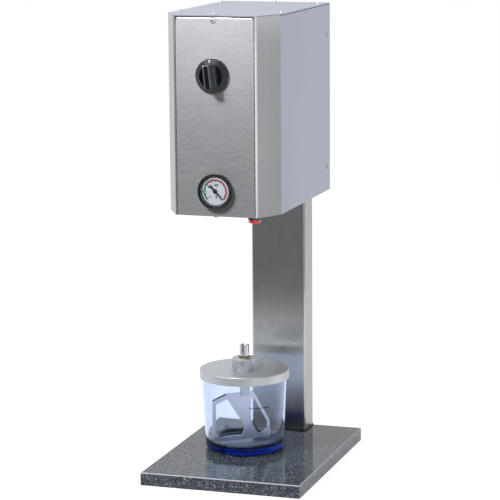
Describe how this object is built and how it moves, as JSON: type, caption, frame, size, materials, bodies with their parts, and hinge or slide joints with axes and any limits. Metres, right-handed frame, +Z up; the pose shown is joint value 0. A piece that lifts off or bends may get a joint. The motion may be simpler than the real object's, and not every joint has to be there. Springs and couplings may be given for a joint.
{
  "type": "vacuum mixer",
  "caption": "Benchtop vacuum mixer: steel motor head with switch and gauge on a column over a stone base, with a clear lidded bowl and paddle that dock under the head.",
  "frame": {"origin": "centre of the base's flat underside", "axes": "X is the width (the operator's right is +X), Y runs from the front (-Y) to the back, Z is up"},
  "size_m": [0.225, 0.334, 0.6388],
  "materials": {
    "stone": "polished speckled granite",
    "brushed_steel": "brushed stainless sheet",
    "plain_steel": "satin stainless sheet",
    "zinc_steel": "zinc-plated steel",
    "screw_steel": "bright screw steel",
    "aluminium": "satin turned aluminium",
    "bronze": "bearing bronze",
    "brass": "plain brass",
    "rubber": "black rubber",
    "black_plastic": "black moulded plastic",
    "gloss_black": "gloss black",
    "red_plastic": "glossy red plastic",
    "white_dial": "white printed dial",
    "clear_glass": "clear window",
    "blue_plastic": "clear blue moulded plastic",
    "motor_paint": "dark grey paint",
    "copper_steel": "laminated iron",
    "green_board": "circuit board",
    "blue_hose": "vacuum hose"
  },
  "bodies": {
    "stand": {"base_plate": "stone", "column_tube": "brushed_steel", "column_gasket": "rubber", "column_foot_block": "zinc_steel", "foot_bolts": "screw_steel", "column_cap": "black_plastic", "backing_plate": "zinc_steel", "head_bolts": "screw_steel", "front_frame": "brushed_steel", "side_panel_right": "plain_steel", "side_panel_left": "plain_steel", "rear_panel": "plain_steel", "top_cover": "plain_steel", "bottom_plate": "plain_steel", "front_panel": "brushed_steel", "case_screws": "screw_steel", "switch_body": "black_plastic", "switch_nut": "screw_steel", "gauge_case": "black_plastic", "gauge_bezel": "gloss_black", "gauge_glass": "clear_glass", "gauge_inner_ring": "black_plastic", "gauge_dial": "white_dial", "gauge_movement": "brass", "gauge_clamp": "zinc_steel", "gauge_hose": "blue_hose", "button_collar": "gloss_black", "button_body": "black_plastic", "dock_ring": "aluminium", "dock_gasket": "rubber", "dock_screws": "screw_steel", "bearing_housing": "aluminium", "spindle_seal": "rubber", "spindle_bearings": "screw_steel", "motor_posts": "zinc_steel", "motor_plate": "zinc_steel", "post_screws": "screw_steel", "motor_can": "motor_paint", "motor_stator": "copper_steel", "vacuum_block": "aluminium", "control_board": "green_board", "board_standoffs": "brass", "air_fitting": "black_plastic", "cord_gland": "black_plastic"},
    "knob": {"switch_knob": "black_plastic", "switch_shaft": "zinc_steel"},
    "pointer": {"gauge_pointer": "black_plastic"},
    "button": {"button_cap": "red_plastic"},
    "drive": {"spindle": "plain_steel", "drive_socket": "plain_steel", "drive_pin": "screw_steel", "shaft_coupling": "aluminium", "motor_rotor": "plain_steel"},
    "bowl": {"bowl": "blue_plastic"},
    "lid": {"lid": "aluminium", "lid_seal": "rubber", "shaft_bush": "bronze"},
    "mixer": {"mixer_shaft": "plain_steel", "shaft_ring": "black_plastic", "mixer_paddle": "plain_steel"}
  },
  "joints": [
    {"name": "knob_turn", "type": "hinge", "parent": "stand", "child": "knob", "pos_m": [-0.003, -0.155, 0.5583], "axis": [0, 1, 0], "range_deg": [-45, 45]},
    {"name": "pointer_swing", "type": "hinge", "parent": "stand", "child": "pointer", "pos_m": [0.0002, -0.155, 0.4075], "axis": [0, -1, 0], "range_deg": [0, 270], "stiffness_Nm_per_rad": 0.0002},
    {"name": "button_press", "type": "slide", "parent": "stand", "child": "button", "axis": [0, 0, 1], "range_m": [0, 0.003], "stiffness_N_per_m": 400},
    {"name": "drive_spin", "type": "hinge", "parent": "stand", "child": "drive", "pos_m": [-0.0171, 0.0096, 0.45], "axis": [0, 0, 1], "continuous": true},
    {"name": "bowl_lift", "type": "slide", "parent": "stand", "child": "bowl", "axis": [0, 0, 1], "range_m": [0, 0.2237]},
    {"name": "lid_lift", "type": "slide", "parent": "bowl", "child": "lid", "axis": [0, 0, -1], "range_m": [-0.11, 0]},
    {"name": "mixer_spin", "type": "hinge", "parent": "lid", "child": "mixer", "pos_m": [-0.0171, 0.0096, 0.1], "axis": [0, 0, 1], "continuous": true}
  ]
}
